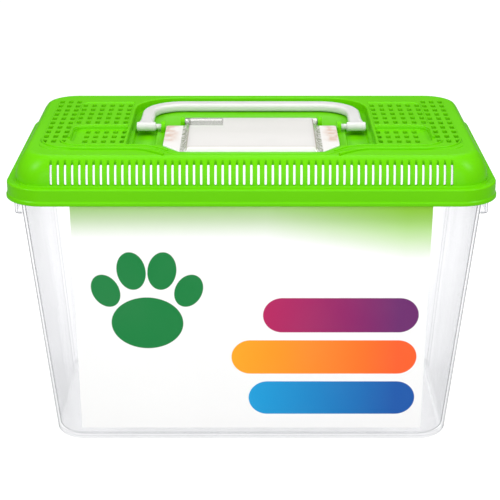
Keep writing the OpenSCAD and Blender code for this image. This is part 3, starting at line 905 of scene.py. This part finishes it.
# The feeder door
door = {
    "half": 47.5, "front": 71, "back": 7, "seat": 211.0, "top": 219.4, "wall": 1.6, "corner": 3,
    "upright": 3, "lean": 3.3, "edge": 1.2, "flange": (213.7, 215.3), "flangeEdge": 0.25,
    "knuckle": 28, "knuckleRadius": 2.6, "knuckleEdge": 0.4,
    "pinIn": 5, "pinOut": 3.3, "pinRadius": 1.5, "pinEdge": 0.3,
    "flangeCorners": [(60.5, -50, 2), (60.5, -2, 1.5), (-60.5, -2, 1.5), (-60.5, -50, 2),
                      (-47.5, -67.5, 1.5), (47.5, -67.5, 1.5)],
}


def doorMaterial():
    # clear plastic with a milky body, with painted shade that makes it warm and darker along its edges, and
    # warm and darker in its flanges
    made, nodes = newMaterial("clearDoorPlastic")
    edge = nodes.add("ShaderNodeLayerWeight", sockets={"Blend": 0.5}, output="Facing")
    gloss = nodes.add("ShaderNodeFresnel", sockets={"IOR": 1.45})
    x, y, z = nodes.place()
    half, knuckleEnd = door["half"], door["knuckle"] - door["half"]

    # the flanges, the flat top, and a line of painted shade just inside the top's edges
    flange = abs(x).rise(half + 0.7, 2)
    top = z.rise(door["seat"] + 4, 0.5)
    across = half - door["lean"] - abs(x)
    along = (door["front"] + door["back"] - door["lean"]) / 2 - abs(y + (door["front"] - door["back"]) / 2)
    borderShade = across.band(0.6, 1.0).atLeast(along.band(1.4, 1.5)) * (across.atMost(along) + 0.8).unit()

    # mottled painted shade on the sides, the warm inner part of the flanges, and lines of flow on the left of
    # the top
    side = (1 - across * 1.5).unit() * z.rise(door["seat"] + 1, 2) * (1 - flange)
    side = side * nodes.noise(2.6).rise(0.42, 7)
    inner = abs(x).rise(49, 1 / 6) * y.rise(-46, 1 / 9) * flange * nodes.noise(7).rise(0.3, 3)
    flow = nodes.noise(1.6, detail=1, stretch=(0.04, 1, 1)).rise(0.55, 5)
    flow = flow * x.rise(-18, -1 / 6) * y.band(-15, 9) * top
    # painted shade: the body turns warm and darker where it turns away
    tint = nodes.blend(edge ** 3.0, (0.97, 0.965, 0.95, 1), (0.50, 0.47, 0.44, 1))
    tint = nodes.blend(borderShade * top * 0.9, tint, (0.34, 0.30, 0.26, 1))
    tint = nodes.blend(side * 0.8, tint, (0.20, 0.24, 0.14, 1))
    tint = nodes.blend(inner * 0.8, tint, (0.62, 0.42, 0.32, 1))
    tint = nodes.blend(flow * 0.5, tint, (0.50, 0.50, 0.52, 1))

    # the hinge rod, and the clearer window through which its left half shows
    rodY, rodZ = hinges["door"]["axis"]
    away = ((y - rodY) ** 2 + (z - rodZ) ** 2) ** 0.5
    onRod = abs(away - door["knuckleRadius"]).rise(0.25, -8)
    window = x.rise(knuckleEnd - 0.2, -2) * x.rise(2 - half, 1) * y.rise(-16.5, 1) * (1 - onRod)

    # the left half of the rod, with painted light and shade: a lilac painted gleam, painted shade above and
    # at its inner end, and half as much painted shade below
    onRod = onRod * (x < 0)
    slant = z - rodZ + (y - rodY) * 0.275
    tint = nodes.blend(slant.band(0, 0.8) * onRod * 0.8, tint, (0.52, 0.46, 0.60, 1))
    shade = slant.rise(1.6, 4).atLeast(x.rise(knuckleEnd - 2.2, 1.5)).atLeast(slant.rise(-2.1, -4) * 0.5)
    tint = nodes.blend(shade * onRod * 0.9, tint, (0.13, 0.13, 0.11, 1))

    body = nodes.plastic(Base_Color=tint, Roughness=nodes.noise(20) * 0.1 + 0.10, IOR=1.45)
    clear = nodes.add("ShaderNodeBsdfTransparent", sockets={"Color": (0.98, 0.98, 0.975, 1)})
    mirror = nodes.add("ShaderNodeBsdfGlossy", sockets={"Color": (1, 1, 1, 1), "Roughness": 0.05})
    share = (edge ** 2.5 * 0.3 + borderShade * top * 0.5 + side * 0.3 + flange * 0.3 + 0.62
             + onRod * 0.3 + nodes.noise(40) * 0.08 - window * (borderShade * 0.4 + 0.46)).unit()
    nodes.show(nodes.mixShaders((gloss * 0.12).atMost(0.1), nodes.mixShaders(share, clear, body), mirror))
    return made


def doorRing(z, grow, lean=0.0):
    # the door's outline at a height, moved out by grow and in by its lean
    halfX = door["half"] + grow - lean
    halfY = (door["front"] + door["back"]) / 2 + grow - lean / 2
    shift = (door["back"] - door["front"]) / 2
    points = roundRect(halfX, halfY, max(door["corner"] + grow, 0.4), 5)
    return [(x, y + shift, z) for x, y in points]


def doorLevels(grow, top):
    # the door's sides, upright and then leaning in, up to a rounded top edge
    seat, lean, edge = door["seat"], door["lean"], door["edge"]
    turn = seat + door["upright"]
    rings = [doorRing(turn, grow), doorRing(top - edge, grow, lean)]
    rings += [doorRing(top - edge + up, grow - edge + away, lean) for away, up in arc(0, 0, edge, 15, 90, 4)]
    return rings


def makeDoor():
    seat, wall, top = door["seat"], door["wall"], door["top"]
    shell = newPiece("doorShell", loft([doorRing(seat, -0.3), doorRing(seat + 0.3, 0)] + doorLevels(0, top)))
    (low, high), edge = door["flange"], door["flangeEdge"]
    join(shell, plug(door["flangeCorners"], [(low, -edge), (low + edge, 0), (high - edge, 0), (high, -edge)]))
    cut(shell, loft([doorRing(seat - 1, -wall)] + doorLevels(-wall, top - wall)))
    y, z = hinges["door"]["axis"]
    half = door["half"]
    for side in (-1, 1):
        knuckle = sorted([side * (half - door["knuckle"]), side * half])
        join(shell, rod(knuckle[0], knuckle[1], y, z, door["knuckleRadius"], door["knuckleEdge"]))
        pin = sorted([side * (half - door["pinIn"]), side * (half + door["pinOut"])])
        join(shell, rod(pin[0], pin[1], y, z, door["pinRadius"], door["pinEdge"]))
    polish(shell, doorMaterial())
    dress(shell, "feeder_door", "door")


makeStudio()
makeTub()
makeLabel()
makeLid()
makeHandle()
makeDoor()
